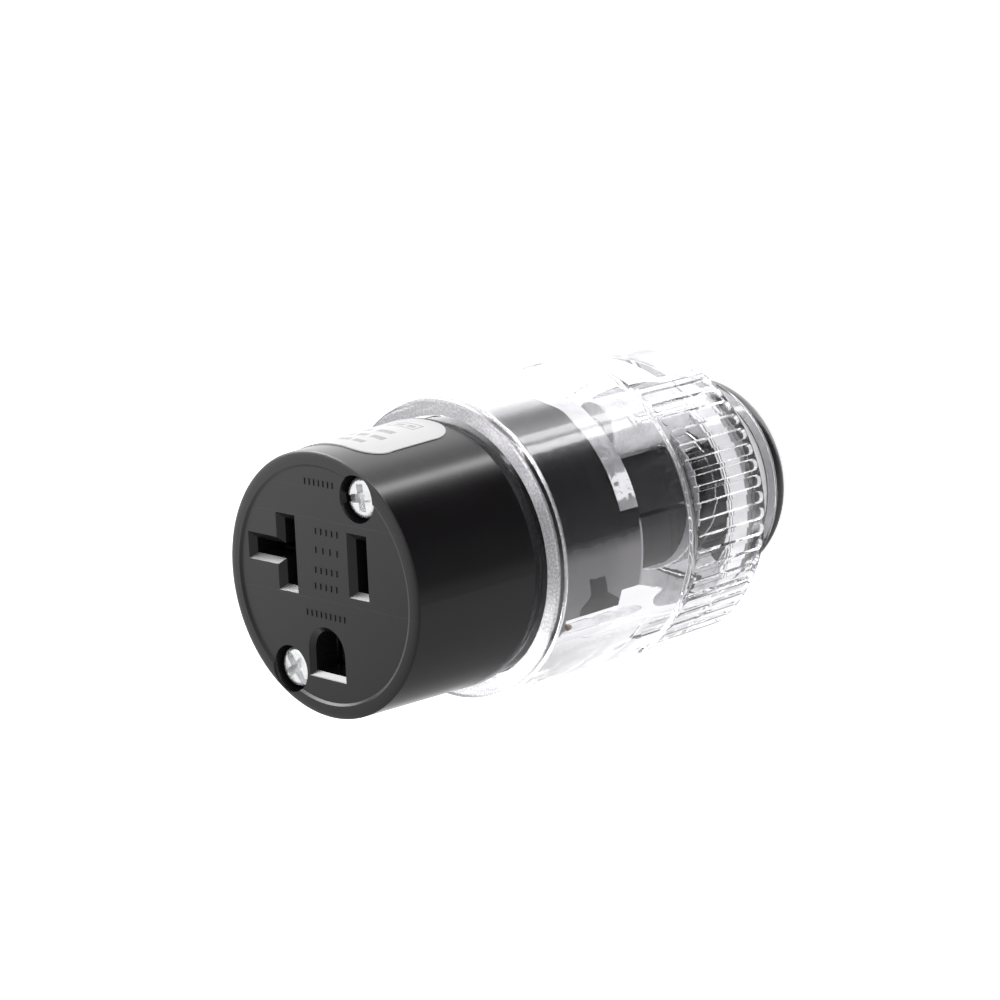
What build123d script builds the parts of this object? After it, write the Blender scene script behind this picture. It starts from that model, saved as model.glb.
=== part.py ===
from build123d import *
import math
import os

# Straight-blade cord connector, 20 A 125 V pattern: black front body, clear rear
# housing with a ribbed grip band and a clear neck, black cord gland ring at the
# neck's end.  It stands on the gland's end:
# +Z runs from the cord end to the receptacle face, +X is right and +Y is up as the
# face is seen, origin at the centre of the cord end.  Depths d are measured back
# from the receptacle face: z = LENGTH - d.

LENGTH = 75.5               # overall length
# front body
FACE_R = 16.85              # radius at the face
BODY_R_BACK = 17.44         # radius where the drafted wall ends
BODY_D_BACK = 19.8          # depth where the drafted wall ends
SPIGOT_R = 16.9
SPIGOT_D = 24.6
FACE_ROUND = 0.35           # rim rounding along the depth
FACE_ROUND_R = 1.05         # and along the radius
INSERT_R = 15.15            # recessed disc inside the rim
INSERT_DEPTH = 0.3
# slots
BLADE_X = 6.35              # half of the 12.7 mm blade spacing
BLADE_Y = 3.15
GROUND_Y = -8.6
SLOT_W = 2.05
HOT_H = 6.6
NEU_H = 8.4
T_X_END = -12.75
T_H = 1.95
LEAD = 0.88                 # lead-in on every slot
LEAD_LOW = 0.66             # and its steeper lower side
LEAD_SIDE = 0.72            # and its left and right sides
GROUND_R = 2.65
GROUND_FLAT_Y = -11.37
GROUND_LEAD = 0.62
SCREW_XY = (6.75, 11.75)
SCREW_SHAFT_R = 1.6
SCREW_HEAD_R = 2.6
SCREW_HEAD_D = 1.05
SCREW_HEAD_T = 1.6
SCREW_RECESS_R = 3.0
SCREW_RECESS_D = 2.75
SCREW_END_D = 55.0
# clear housing
HSG_D0 = 21.75
HSG_R0 = 19.45
HSG_BORE_R = 17.3
HSG_R1 = 19.66
HSG_R2 = 20.2
RING_D0 = 45.85
RING_D1 = 61.0
RING_R = 20.5
FLUTE_R = 20.0
FLUTE_W = 1.19              # width at the flute's floor
FLUTE_W_TOP = 1.69          # and at the band's outside
FLUTE_D0 = 47.15
FLUTE_D1 = 60.75
RIB_PITCH = 6.12
RIB_COUNT_SIDE = 10
PAD_R = 19.85
PAD_HALF = 30.3
WALL_D0 = 57.0
WALL_HOLE_R = 8.9
NECK_R = 14.1
NECK_BORE_R = 10.75
NECK_D1 = 71.45
# carrier
CAR_R = 17.0
CAR_D1 = 35.4
CAR_D2 = 38.9
CAR_FLAT_Y = -7.1
CAR_FLAT2_Y = -5.2
CAR_FLAT_D0 = 25.7
# jaws
JAW_R = 10.5
JAW_FLAT = 7.8
JAW_D0 = 39.6
JAW_D1 = 55.6
JAW_BORE = 4.8
JAW_SPLIT_Y = 0.8
JAW_GAP = 0.6
# gland
GLAND_R = 14.1
GLAND_D0 = 69.9             # front end of the gland's stem, inside the neck
GLAND_STEM_R = 9.3
GLAND_ROUND = 4.0
CORD_BORE_R = 8.0
SEAL_R = 10.6
SEAL_BORE = 6.3
SEAL_D0 = 58.0
SEAL_D1 = 71.4
SEAL_STEP_R = 9.4           # the seal's rear end takes the gland's stem
SEAL_STEP_D = 69.85
# label
LABEL_TH0, LABEL_TH1 = 70.8, 150.0
LABEL_D0, LABEL_D1 = 3.8, 18.8
LABEL_T = 0.14


def Z(d):
    return LENGTH - d


def lathe(points):
    # closed outline of (radius, depth) pairs, turned about Z
    pts = [(r, 0, Z(d)) for r, d in points]
    return revolve(make_face(Polyline(*pts, close=True)), Axis.Z, 360)


def lathe_edges(edges):
    return revolve(make_face(edges), Axis.Z, 360)


def block(x0, x1, y0, y1, d0, d1):
    return Pos((x0 + x1) / 2, (y0 + y1) / 2, Z((d0 + d1) / 2)) * Box(
        abs(x1 - x0), abs(y1 - y0), abs(d1 - d0))


def rod(x, y, r, d0, d1):
    return Pos(x, y, Z((d0 + d1) / 2)) * Cylinder(r, abs(d1 - d0))


def fuse(items):
    out = items[0]
    for it in items[1:]:
        out = out + it
    return out


def write(name, shape):
    if isinstance(shape, (list, ShapeList)):
        shape = Compound(children=list(shape))
    export_step(shape, f"parts/{name}.step")
    n = len(shape.solids())
    print(f"{name}: {n} solid(s), {shape.volume:.1f} mm3")


def P(r, d):
    return (r, 0, Z(d))


def body_radius(d):
    # radius of the drafted wall at depth d
    return FACE_R + (BODY_R_BACK - FACE_R) * (d - FACE_ROUND) / (BODY_D_BACK - 0.15 - FACE_ROUND)


def funnel(profile_fn, lead, d_top):
    # tapered mouth: the outline grown by lead at the disc, true size below it
    a = Plane((0, 0, Z(d_top - 0.02))) * profile_fn(lead + 0.02)
    b = Plane((0, 0, Z(d_top + lead))) * profile_fn(0.0)
    return loft([a, b])


def rect_fn(x0, x1, y0, y1):
    def fn(g):
        low = g * LEAD_LOW / LEAD
        side = g * LEAD_SIDE / LEAD
        return Pos((x0 + x1) / 2, (y0 + y1 + g - low) / 2) * Rectangle(x1 - x0 + 2 * side, y1 - y0 + g + low)
    return fn


def ground_fn(g):
    r = GROUND_R + g
    yb = GROUND_FLAT_Y - g
    l1 = Line((-r, yb), (r, yb))
    l2 = Line((r, yb), (r, GROUND_Y))
    a = ThreePointArc((r, GROUND_Y), (0, GROUND_Y + r), (-r, GROUND_Y))
    l3 = Line((-r, GROUND_Y), (-r, yb))
    return make_face([l1, l2, a, l3])


# ---------------------------------------------------------------- contacts
# each contact is a list of plain strips; the mouldings get the same strips
# with a little room as their pockets
LEAF_T = 0.8
LEAF_GAP = 1.4
PAD_Y0, PAD_Y1 = CAR_FLAT_Y - 0.8, CAR_FLAT_Y
PAD_D1 = 34.9
HOT_PAD = (3.5, 8.1)
GND_PAD = (-2.2, 2.2)


def blade_contact(s):
    # s = +1 hot side with its terminal below, -1 neutral side with its terminal above
    def bx(x0, x1, y0, y1, d0, d1):
        return (min(s * x0, s * x1), max(s * x0, s * x1), min(y0, y1), max(y0, y1), d0, d1)
    c = BLADE_X
    g = LEAF_GAP / 2
    h = 3.1 if s > 0 else 3.9
    root = BLADE_Y - s * (h - 0.1)
    return [
        bx(c - g - LEAF_T, c - g, BLADE_Y - h, BLADE_Y + h, 5.2, 22.6),
        bx(c + g, c + g + LEAF_T, BLADE_Y - h, BLADE_Y + h, 5.2, 22.6),
        bx(c - g - LEAF_T, c + g + LEAF_T, BLADE_Y - h, BLADE_Y + h, 22.6, 23.4),
        bx(c - 2.0, c + 1.5, s * PAD_Y0, root, 22.6, 23.4),
        bx(HOT_PAD[0] + 0.35, HOT_PAD[1] - 0.3, s * PAD_Y0, s * PAD_Y1, 23.39, PAD_D1),
    ]


hot_boxes = blade_contact(+1)
neu_boxes = blade_contact(-1)
# the sideways arm of the T slot: a second leaf pair, split by the arm's height
neu_boxes += [
    (-12.6, -7.84, BLADE_Y - 1.6, BLADE_Y - 0.8, 5.2, 22.6),
    (-12.6, -7.84, BLADE_Y + 0.8, BLADE_Y + 1.6, 5.2, 22.6),
    (-12.6, -7.84, BLADE_Y - 1.6, BLADE_Y + 1.6, 22.6, 23.4),
]
gnd_boxes = [
    (-2.95, -2.3, -11.4, -6.0, 5.6, 22.6),
    (2.3, 2.95, -11.4, -6.0, 5.6, 22.6),
    (-2.95, 2.95, -11.4, -6.0, 22.6, 23.4),
    (GND_PAD[0], GND_PAD[1], PAD_Y0, PAD_Y1, 23.39, PAD_D1 - 4.0),
]


def boxes_solid(bs, g=0.0):
    return fuse([block(b[0] - g, b[1] + g, b[2] - g, b[3] + g, b[4] - g, b[5] + g) for b in bs])


HOT_T = (5.8, 32.6, 1)      # x, depth, and side (1 faces -Y, -1 faces +Y) of each terminal
NEU_T = (-5.8, 32.6, -1)
GND_T = (0.0, 28.6, 1)


def y_rod(x, d, r, y0, y1):
    return Pos(x, (y0 + y1) / 2, Z(d)) * Rot(90, 0, 0) * Cylinder(r, abs(y1 - y0))


def turned(shape, t):
    # a terminal is modelled facing -Y at x = 0, then put in its place
    out = Rot(0, 0, 0 if t[2] > 0 else 180) * shape
    return Pos(t[0], 0, 0) * out


def terminal_screw(t):
    # head below the pressure plate, thread up through the pad into the carrier
    d = t[1]
    head = y_rod(0, d, 2.1, PAD_Y0 - 2.6, PAD_Y0 - 1.2)
    head = fillet(head.edges().filter_by(GeomType.CIRCLE).sort_by(Axis.Y)[0], 0.35)
    shaft = y_rod(0, d, 1.3, PAD_Y0 - 1.3, PAD_Y1 + 3.2)
    slot = Pos(0, PAD_Y0 - 2.6, Z(d)) * Box(5.0, 1.2, 0.7)
    return turned(head + shaft - slot, t)


def pressure_plate(t):
    d = t[1]
    p = Pos(0, PAD_Y0 - 0.8, Z(d)) * Box(4.4, 0.8, 4.6)
    p = p - y_rod(0, d, 1.45, PAD_Y0 - 2, PAD_Y0)
    # grooves that bite on the wire
    for k in (-1.3, 1.3):
        p = p - Pos(0, PAD_Y0 - 0.42, Z(d) + k) * Rot(45, 0, 0) * Box(5, 0.4, 0.4)
    return turned(p, t)


def terminal_hole(t, r, y0, y1):
    return turned(y_rod(0, t[1], r, y0, y1), t)


hot_contact = boxes_solid(hot_boxes) - terminal_hole(HOT_T, 1.32, PAD_Y0 - 1, PAD_Y1 + 1)
neutral_contact = boxes_solid(neu_boxes) - terminal_hole(NEU_T, 1.32, PAD_Y0 - 1, PAD_Y1 + 1)
ground_contact = boxes_solid(gnd_boxes) - terminal_hole(GND_T, 1.32, PAD_Y0 - 1, PAD_Y1 + 1)

# ---------------------------------------------------------------- front body
r1 = body_radius(FACE_ROUND)
outline = [
    Line(P(0, 0), P(FACE_R - FACE_ROUND_R, 0)),
    Bezier(P(FACE_R - FACE_ROUND_R, 0), P(FACE_R - 0.45 * FACE_ROUND_R, 0),
           P(FACE_R, 0.45 * FACE_ROUND), P(FACE_R, FACE_ROUND)),
    Line(P(FACE_R, FACE_ROUND), P(BODY_R_BACK, BODY_D_BACK - 0.15)),
    Line(P(BODY_R_BACK, BODY_D_BACK - 0.15), P(BODY_R_BACK - 0.15, BODY_D_BACK)),
    Line(P(BODY_R_BACK - 0.15, BODY_D_BACK), P(SPIGOT_R, BODY_D_BACK)),
    Line(P(SPIGOT_R, BODY_D_BACK), P(SPIGOT_R, SPIGOT_D)),
    Line(P(SPIGOT_R, SPIGOT_D), P(0, SPIGOT_D)),
    Line(P(0, SPIGOT_D), P(0, 0)),
]
front_body = lathe_edges(outline)
# recessed disc with a sloping wall
front_body = front_body - lathe([(0, -1), (INSERT_R, -1), (INSERT_R, 0.02),
                                 (INSERT_R - 0.28, INSERT_DEPTH), (0, INSERT_DEPTH)])
D0 = INSERT_DEPTH
hx0, hx1 = BLADE_X - SLOT_W / 2, BLADE_X + SLOT_W / 2
hy0, hy1 = BLADE_Y - HOT_H / 2, BLADE_Y + HOT_H / 2
ny0, ny1 = BLADE_Y - NEU_H / 2, BLADE_Y + NEU_H / 2
slots = [
    rect_fn(hx0, hx1, hy0, hy1),
    rect_fn(-hx1, -hx0, ny0, ny1),
    rect_fn(T_X_END, -BLADE_X, BLADE_Y - T_H / 2, BLADE_Y + T_H / 2),
]
for fn in slots:
    front_body = front_body - funnel(fn, LEAD, D0)
    front_body = front_body - Pos(0, 0, Z(4.6)) * extrude(fn(0.0), 4.4)
front_body = front_body - funnel(ground_fn, GROUND_LEAD, D0)
front_body = front_body - Pos(0, 0, Z(4.6)) * extrude(ground_fn(0.0), 4.4)
# pockets behind the face for the contacts
front_body = front_body - block(3.5, 9.2, -1.6, 7.9, 4.4, SPIGOT_D + 1)
front_body = front_body - block(-9.2, -3.5, -2.3, 8.6, 4.4, SPIGOT_D + 1)
front_body = front_body - block(-13.4, -9.0, 0.9, 5.4, 4.4, SPIGOT_D + 1)
front_body = front_body - block(-3.3, 3.3, -11.9, -5.4, 4.4, SPIGOT_D + 1)
for bs in (hot_boxes, neu_boxes, gnd_boxes):
    front_body = front_body - boxes_solid([b for b in bs if b[5] > 23.0], 0.12)
for s in (1, -1):
    x, y = s * SCREW_XY[0], s * SCREW_XY[1]
    front_body = front_body - rod(x, y, SCREW_RECESS_R, -1, SCREW_RECESS_D)
    front_body = front_body - rod(x, y, SCREW_SHAFT_R + 0.2, 0, SPIGOT_D + 1)
# rows of plain raised bars on the disc
BAR_W, BAR_H = 0.3, 0.78
for (x0, x1, y, n) in [
    (-2.5, 2.4, 12.85, 7), (-1.05, 2.8, 6.75, 5), (-1.15, 2.65, 4.35, 4),
    (-1.35, 2.45, 1.8, 5), (-1.55, 2.25, -0.25, 5), (-3.3, 3.4, -3.85, 9),
]:
    for k in range(n):
        x = x0 + (x1 - x0) * k / (n - 1)
        front_body = front_body + Pos(x, y, Z(D0) + 0.01) * Box(BAR_W, BAR_H, 0.2)

# ---------------------------------------------------------------- carrier
carrier = rod(0, 0, CAR_R, SPIGOT_D, CAR_D1 + 0.01) + rod(0, 0, CAR_R - 0.02, CAR_D1, CAR_D2)
carrier = carrier - block(-20, 20, -20, CAR_FLAT_Y, CAR_FLAT_D0, CAR_D1)
carrier = carrier - block(-20, 20, -20, CAR_FLAT2_Y, CAR_D1, CAR_D2 + 1)
# the neutral terminal's own well, above and to the left
carrier = carrier - block(-20, -1.6, -CAR_FLAT_Y, 20, CAR_FLAT_D0, CAR_D1 - 0.4)
# barriers beside the ground terminal
for x in (-2.85, 2.85):
    carrier = carrier + block(x - 0.4, x + 0.4, -12.2, CAR_FLAT_Y + 0.5, CAR_FLAT_D0 - 0.2, CAR_D1)
# seat of the strap
STRAP_R0 = 16.55
STRAP_TH0, STRAP_TH1 = 15.0, 165.0
STRAP_D0, STRAP_D1 = 35.5, 38.85


def sector(r0, r1, th0, th1, d0, d1, n=24):
    pts = []
    for i in range(n + 1):
        a = math.radians(th0 + (th1 - th0) * i / n)
        pts.append((r1 * math.cos(a), r1 * math.sin(a)))
    a0, a1, am = math.radians(th0), math.radians(th1), math.radians((th0 + th1) / 2)

    def q(r, a):
        return (r * math.cos(a), r * math.sin(a))
    e = [ThreePointArc(q(r1, a0), q(r1, am), q(r1, a1)), Line(q(r1, a1), q(r0, a1)),
         ThreePointArc(q(r0, a1), q(r0, am), q(r0, a0)), Line(q(r0, a0), q(r1, a0))]
    return Pos(0, 0, Z(d1)) * extrude(make_face(e), d1 - d0)


carrier = carrier - sector(STRAP_R0, 20, STRAP_TH0 - 0.6, STRAP_TH1 + 0.6, STRAP_D0 - 0.1, CAR_D2 + 1)
# the middle is hollow for the wires, open to the rear
carrier = carrier - block(-9.5, 9.5, CAR_FLAT_Y + 3.6, -CAR_FLAT_Y - 3.6, 30.5, CAR_D2 + 1)
carrier = carrier - block(-9.5, 9.5, CAR_FLAT2_Y + 1.2, 7.6, CAR_D1 - 0.6, CAR_D2 + 1)
for s in (1, -1):
    x, y = s * SCREW_XY[0], s * SCREW_XY[1]
    carrier = carrier - rod(x, y, SCREW_SHAFT_R + 0.3, 20, 45)
for bs in (hot_boxes, neu_boxes, gnd_boxes):
    carrier = carrier - boxes_solid([b for b in bs if b[5] > 23.0], 0.12)
for t in (HOT_T, NEU_T, GND_T):
    carrier = carrier - terminal_hole(t, 1.32, PAD_Y1 - 1, PAD_Y1 + 3.3)
carrier_strap = sector(STRAP_R0, CAR_R, STRAP_TH0, STRAP_TH1, STRAP_D0, STRAP_D1)

# ---------------------------------------------------------------- clear housing
housing = lathe([
    (17.55, HSG_D0), (HSG_R0 - 0.35, HSG_D0), (HSG_R0 - 0.08, HSG_D0 + 0.12), (HSG_R0, HSG_D0 + 0.4),
    (HSG_R0, HSG_D0 + 1.0), (HSG_R0 - 0.22, HSG_D0 + 1.22), (HSG_R1, HSG_D0 + 1.6),
    (HSG_R2, RING_D0 - 0.1), (RING_R - 0.05, RING_D0), (RING_R + 0.12, RING_D0 + 0.3),
    (RING_R + 0.12, RING_D0 + 0.8), (RING_R, RING_D0 + 1.1),
    (RING_R, RING_D1 - 0.45), (RING_R - 0.14, RING_D1 - 0.13), (RING_R - 0.45, RING_D1),
    (NECK_R + 0.5, RING_D1), (NECK_R + 0.15, RING_D1 + 0.15), (NECK_R, RING_D1 + 0.5),
    (NECK_R, NECK_D1 - 0.4), (NECK_R + 0.16, NECK_D1 - 0.25), (NECK_R + 0.16, NECK_D1),
    (NECK_BORE_R, NECK_D1), (NECK_BORE_R, SEAL_D0 - 0.03), (WALL_HOLE_R, SEAL_D0 - 0.03), (WALL_HOLE_R, WALL_D0),
    (HSG_BORE_R - 1.6, WALL_D0), (HSG_BORE_R - 0.45, WALL_D0 - 0.45), (HSG_BORE_R, WALL_D0 - 1.6),
    (HSG_BORE_R, HSG_D0 + 0.5), (17.55, HSG_D0 + 0.25),
])
# smooth pads at top and bottom of the grip band
for mid in (90, 270):
    housing = housing - sector(PAD_R, 23, mid - PAD_HALF, mid + PAD_HALF, RING_D0 + 1.15, RING_D1 + 0.5)
# flutes between the ribs on both sides
FLUTE_UP = 1.5
grow = (FLUTE_W_TOP - FLUTE_W) * FLUTE_UP / (RING_R - FLUTE_R)
flute_low = SlotOverall(FLUTE_D1 - FLUTE_D0 - 0.2, FLUTE_W)
flute_top = SlotOverall(FLUTE_D1 - FLUTE_D0 - 0.2 + grow, FLUTE_W + grow)
flute = loft([Plane((0, 0, 0)) * flute_low, Plane((0, 0, FLUTE_UP)) * flute_top], ruled=True)
for side in (0, 180):
    for k in range(-RIB_COUNT_SIDE + 1, RIB_COUNT_SIDE):
        a = side + k * RIB_PITCH
        cutter = Pos(0, 0, FLUTE_R) * flute
        # slot's length along Z, thickness along the radius
        cutter = Rot(0, 0, a) * Pos(0, 0, Z((FLUTE_D0 + FLUTE_D1) / 2)) * Rot(0, 90, 0) * cutter
        housing = housing - cutter
# two posts inside, each moulded round a threaded insert
POST_R, POST_D0 = 3.4, 42.0
INSERT_NUT_R, INSERT_NUT_D0, INSERT_NUT_D1 = 2.5, 49.4, 54.6
for s in (1, -1):
    x, y = s * SCREW_XY[0], s * SCREW_XY[1]
    housing = housing + rod(x, y, POST_R, POST_D0, WALL_D0 + 0.5)
    housing = housing - rod(x, y, SCREW_SHAFT_R + 0.25, POST_D0 - 1, WALL_D0 - 0.8)
    housing = housing - rod(x, y, INSERT_NUT_R + 0.03, INSERT_NUT_D0 - 0.03, INSERT_NUT_D1 + 0.03)
housing = housing - rod(0, 0, WALL_HOLE_R, WALL_D0 - 0.02, SEAL_D0)

# ---------------------------------------------------------------- jaws
def jaw(sign):
    j = rod(0, 0, JAW_R, JAW_D0, JAW_D1)
    j = j - rod(0, 0, JAW_BORE, JAW_D0 - 1, JAW_D1 + 1)
    # bite grooves
    for d in (44.0, 47.5, 51.0, 54.5):
        j = j - lathe([(JAW_BORE - 1, d - 0.9), (JAW_BORE + 0.55, d), (JAW_BORE - 1, d + 0.9)])
    # flared mouths
    for d, e in ((JAW_D0, 1), (JAW_D1, -1)):
        j = j - lathe([(0, d - e), (JAW_BORE + 2.6, d - e), (JAW_BORE + 1.6, d), (JAW_BORE - 0.1, d + e * 1.8), (0, d + e * 1.8)])
    big = 40
    if sign > 0:
        j = j & block(-big, big, JAW_SPLIT_Y + JAW_GAP / 2, JAW_FLAT, JAW_D0 - 1, JAW_D1 + 1)
        ramp = Pos(0, JAW_FLAT, Z(JAW_D0)) * Rot(-30, 0, 0) * Box(40, 3.4, 12)
    else:
        j = j & block(-big, big, -JAW_FLAT, JAW_SPLIT_Y - JAW_GAP / 2, JAW_D0 - 1, JAW_D1 + 1)
        ramp = Pos(0, -JAW_FLAT, Z(JAW_D0)) * Rot(30, 0, 0) * Box(40, 3.4, 12)
    return j - ramp


upper_jaw = jaw(+1)
lower_jaw = jaw(-1)

# ---------------------------------------------------------------- gland and seal
cx = GLAND_R - GLAND_ROUND
GLAND_BAND_D0 = NECK_D1 + 0.05
gland_edges = [
    Line(P(CORD_BORE_R, GLAND_D0), P(GLAND_STEM_R, GLAND_D0)),
    Line(P(GLAND_STEM_R, GLAND_D0), P(GLAND_STEM_R, GLAND_BAND_D0)),
    Line(P(GLAND_STEM_R, GLAND_BAND_D0), P(GLAND_R, GLAND_BAND_D0)),
    Line(P(GLAND_R, GLAND_BAND_D0), P(GLAND_R, 71.7)),
    ThreePointArc(P(GLAND_R, 71.7),
                  P(cx + GLAND_ROUND * math.cos(math.radians(44)), 71.7 + 3.8 * math.sin(math.radians(44))),
                  P(cx + 0.1, LENGTH)),
    Line(P(cx + 0.1, LENGTH), P(CORD_BORE_R + 0.5, LENGTH)),
    Line(P(CORD_BORE_R + 0.5, LENGTH), P(CORD_BORE_R, LENGTH - 0.5)),
    Line(P(CORD_BORE_R, LENGTH - 0.5), P(CORD_BORE_R, GLAND_D0)),
]
cord_gland = lathe_edges(gland_edges)
cord_seal = lathe([(SEAL_BORE, SEAL_D0 + 0.6), (SEAL_BORE + 0.6, SEAL_D0), (SEAL_R, SEAL_D0), (SEAL_R, SEAL_D1),
                   (SEAL_STEP_R, SEAL_D1), (SEAL_STEP_R, SEAL_STEP_D),
                   (SEAL_BORE + 0.6, SEAL_STEP_D), (SEAL_BORE, SEAL_STEP_D - 0.6),
                   (SEAL_BORE, 67.9), (SEAL_BORE + 0.7, 67.3), (SEAL_BORE + 0.7, 66.7), (SEAL_BORE, 66.1),
                   (SEAL_BORE, 64.9), (SEAL_BORE + 0.7, 64.3), (SEAL_BORE + 0.7, 63.7), (SEAL_BORE, 63.1),
                   (SEAL_BORE, 61.9), (SEAL_BORE + 0.7, 61.3), (SEAL_BORE + 0.7, 60.7), (SEAL_BORE, 60.1)])

# ---------------------------------------------------------------- fasteners
screws, nuts = [], []
for s, slot_deg in ((1, 8.0), (-1, -52.0)):
    x, y = s * SCREW_XY[0], s * SCREW_XY[1]
    head = rod(x, y, SCREW_HEAD_R, SCREW_HEAD_D, SCREW_HEAD_D + SCREW_HEAD_T)
    head = fillet(head.edges().filter_by(GeomType.CIRCLE).sort_by(Axis.Z)[-1], 0.7)
    head = head - Pos(x, y, Z(SCREW_HEAD_D)) * Rot(0, 0, slot_deg) * Box(6.0, 0.9, 1.4)
    head = head - Pos(x, y, Z(SCREW_HEAD_D)) * Rot(0, 0, slot_deg) * Box(1.1, 3.4, 1.9)
    head = head - Pos(x, y, Z(SCREW_HEAD_D)) * Rot(0, 0, slot_deg) * Box(3.4, 1.1, 1.9)
    shaft = rod(x, y, SCREW_SHAFT_R, SCREW_HEAD_D + SCREW_HEAD_T - 0.01, SCREW_END_D - 0.6)
    tip = Pos(x, y, Z(SCREW_END_D - 0.3)) * Cone(SCREW_SHAFT_R - 0.5, SCREW_SHAFT_R, 0.6)
    screws.append(head + shaft + tip)
    n = rod(x, y, INSERT_NUT_R, INSERT_NUT_D0, INSERT_NUT_D1)
    for d in (INSERT_NUT_D0 + 1.7, INSERT_NUT_D0 + 3.3):
        n = n - (rod(x, y, INSERT_NUT_R + 0.5, d - 0.25, d + 0.25) - rod(x, y, INSERT_NUT_R - 0.3, d - 0.3, d + 0.3))
    n = n - rod(x, y, SCREW_SHAFT_R, 40, 60)
    nuts.append(n)

hot_screw = terminal_screw(HOT_T)
neutral_screw = terminal_screw(NEU_T)
ground_screw = terminal_screw(GND_T)
hot_plate = pressure_plate(HOT_T)
neutral_plate = pressure_plate(NEU_T)
ground_plate = pressure_plate(GND_T)

# ---------------------------------------------------------------- label
# a patch cut from a thin drafted shell, with rounded corners
sh = lathe([(body_radius(1.2) , 1.2), (body_radius(1.2) + LABEL_T, 1.2),
            (body_radius(19.6) + LABEL_T, 19.6), (body_radius(19.6), 19.6)])
RC = 3.4
dth = math.degrees(RC / 17.3)
label = sh & sector(10, 25, LABEL_TH0 + dth, LABEL_TH1 - dth, LABEL_D0, LABEL_D1)
label = label + (sh & sector(10, 25, LABEL_TH0, LABEL_TH1, LABEL_D0 + RC, LABEL_D1 - RC))
for th in (LABEL_TH0 + dth, LABEL_TH1 - dth):
    for d in (LABEL_D0 + RC, LABEL_D1 - RC):
        plug = Rot(0, 0, th) * Pos(0, 0, Z(d)) * Rot(0, 90, 0) * Pos(0, 0, 17) * Cylinder(RC, 12)
        label = label + (sh & plug)

os.makedirs("parts", exist_ok=True)
write("front_body", front_body)
write("contact_carrier", carrier)
write("carrier_strap", carrier_strap)
write("clear_housing", housing)
write("upper_clamp_jaw", upper_jaw)
write("lower_clamp_jaw", lower_jaw)
write("cord_gland", cord_gland)
write("cord_seal", cord_seal)
write("assembly_screws", screws)
write("threaded_inserts", nuts)
write("hot_contact", hot_contact)
write("neutral_contact", neutral_contact)
write("ground_contact", ground_contact)
write("hot_terminal_screw", hot_screw)
write("neutral_terminal_screw", neutral_screw)
write("ground_terminal_screw", ground_screw)
write("hot_pressure_plate", hot_plate)
write("neutral_pressure_plate", neutral_plate)
write("ground_pressure_plate", ground_plate)
write("rating_label", label)
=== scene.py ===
import bpy
import bmesh
import math
from mathutils import Matrix, Vector


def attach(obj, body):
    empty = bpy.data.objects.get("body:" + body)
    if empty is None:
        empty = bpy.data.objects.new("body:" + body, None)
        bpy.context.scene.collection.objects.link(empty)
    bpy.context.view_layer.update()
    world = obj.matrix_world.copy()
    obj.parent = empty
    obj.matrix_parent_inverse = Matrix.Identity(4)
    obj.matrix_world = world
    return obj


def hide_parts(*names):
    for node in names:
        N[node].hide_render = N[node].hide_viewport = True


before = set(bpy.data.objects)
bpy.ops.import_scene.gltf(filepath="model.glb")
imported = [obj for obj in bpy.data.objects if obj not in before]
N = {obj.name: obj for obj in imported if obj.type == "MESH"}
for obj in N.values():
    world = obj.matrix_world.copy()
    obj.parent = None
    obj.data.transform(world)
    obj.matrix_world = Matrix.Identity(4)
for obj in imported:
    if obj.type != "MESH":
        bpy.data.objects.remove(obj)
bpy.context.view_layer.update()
scene = bpy.context.scene
LENGTH = 0.0755

# ------------------------------------------------------------------ camera
R1 = Vector((0.72198087, -0.03874072, -0.69082760))
R2 = Vector((0.13088245, -0.97275917, 0.19133576))
R3 = Vector((-0.67942137, -0.22855797, -0.69724304))
CAM_AT = Vector((0.2578729, 0.0913071, 0.3082631))
cam_data = bpy.data.cameras.new("camera")
cam = bpy.data.objects.new("camera", cam_data)
scene.collection.objects.link(cam)
rot = Matrix((R1, -R2, -R3)).transposed()
cam.matrix_world = Matrix.Translation(CAM_AT) @ rot.to_4x4()
cam_data.sensor_fit = "HORIZONTAL"
cam_data.sensor_width = 36.0
cam_data.lens = 2929.0957 * 36.0 / 1000.0
cam_data.clip_start = 0.01
cam_data.clip_end = 200.0
scene.camera = cam

scene.view_settings.view_transform = "Standard"
scene.view_settings.look = "None"
scene.view_settings.exposure = 0.0
scene.view_settings.gamma = 1.0
# light has to get through many walls of clear plastic
scene.cycles.max_bounces = 20
scene.cycles.glossy_bounces = 12
scene.cycles.transmission_bounces = 20


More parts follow.
